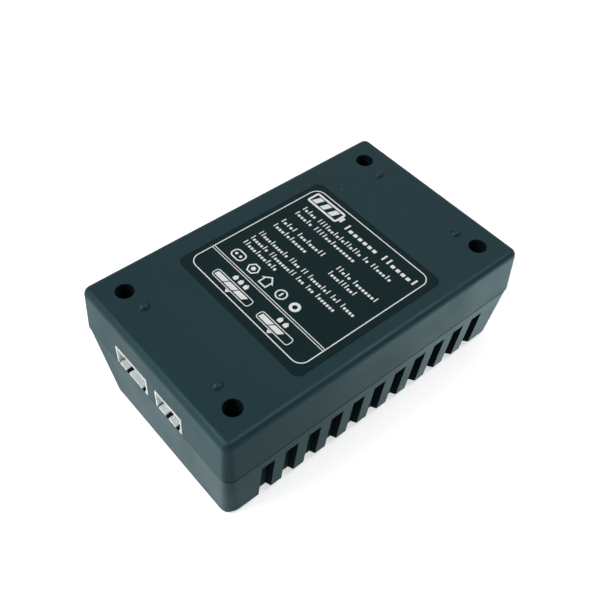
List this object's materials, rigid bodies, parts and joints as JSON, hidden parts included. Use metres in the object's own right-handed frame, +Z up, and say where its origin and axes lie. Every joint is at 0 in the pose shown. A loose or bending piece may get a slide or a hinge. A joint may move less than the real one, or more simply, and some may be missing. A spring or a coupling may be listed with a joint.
{
  "type": "balance battery charger",
  "caption": "Slab-shaped mains charger for small multi-cell packs: screwed case with finned sides, one of them slanted, balance sockets at one end, a mains lead inlet at the other.",
  "frame": {"origin": "middle of the finned shell's flat face, on which it is stored with its label face up", "axes": "+X from the socket end to the mains inlet end, +Y across the width, +Z up from the flat face to the label face"},
  "size_m": [0.09, 0.056, 0.0326],
  "materials": {
    "case_plastic": "satin, fine moulded texture",
    "label_film": "smooth matt film with pale print",
    "screw_steel": "zinc plated",
    "circuit_board": "green solder mask",
    "socket_nylon": "natural white nylon",
    "tinned_pin": "bright tin",
    "inlet_plastic": "fine satin black",
    "inlet_contact": "nickel-plated brass",
    "fuse_body": "moulded",
    "film_box": "moulded box",
    "chip_body": "moulded epoxy",
    "ferrite": "sintered ferrite",
    "copper_wire": "enamelled copper",
    "can_aluminium": "plain",
    "can_sleeve": "shrunk film",
    "bobbin_plastic": "moulded",
    "winding_tape": "polyester film",
    "disc_coating": "dipped epoxy",
    "lamp_lens": "milky lens",
    "label_ink": "pale screen print on the label film, with no solid of its own"
  },
  "bodies": {
    "root": {"label_shell": "case_plastic", "finned_shell": "case_plastic", "spec_label": "label_film", "case_screws": "screw_steel", "main_board": "circuit_board", "three_cell_socket": "socket_nylon", "three_cell_pins": "tinned_pin", "two_cell_socket": "socket_nylon", "two_cell_pins": "tinned_pin", "mains_inlet": "inlet_plastic", "mains_inlet_pins": "inlet_contact", "fuse": "fuse_body", "film_capacitor": "film_box", "bridge_rectifier": "chip_body", "choke_core": "ferrite", "choke_winding": "copper_wire", "storage_capacitor": "can_aluminium", "storage_capacitor_sleeve": "can_sleeve", "switching_transistor": "chip_body", "heat_sink": "can_aluminium", "heat_sink_screw": "screw_steel", "transformer_core": "ferrite", "transformer_bobbin": "bobbin_plastic", "transformer_winding": "copper_wire", "transformer_tape": "winding_tape", "controller_chip": "chip_body", "optical_isolator": "chip_body", "safety_capacitor": "disc_coating", "output_diode": "chip_body", "output_capacitors": "can_sleeve", "charge_transistors": "chip_body", "balance_amplifiers": "chip_body", "sense_resistors": "chip_body", "chip_resistors": "chip_body", "status_lamps": "lamp_lens", "lamp_legs": "tinned_pin"}
  },
  "joints": []
}
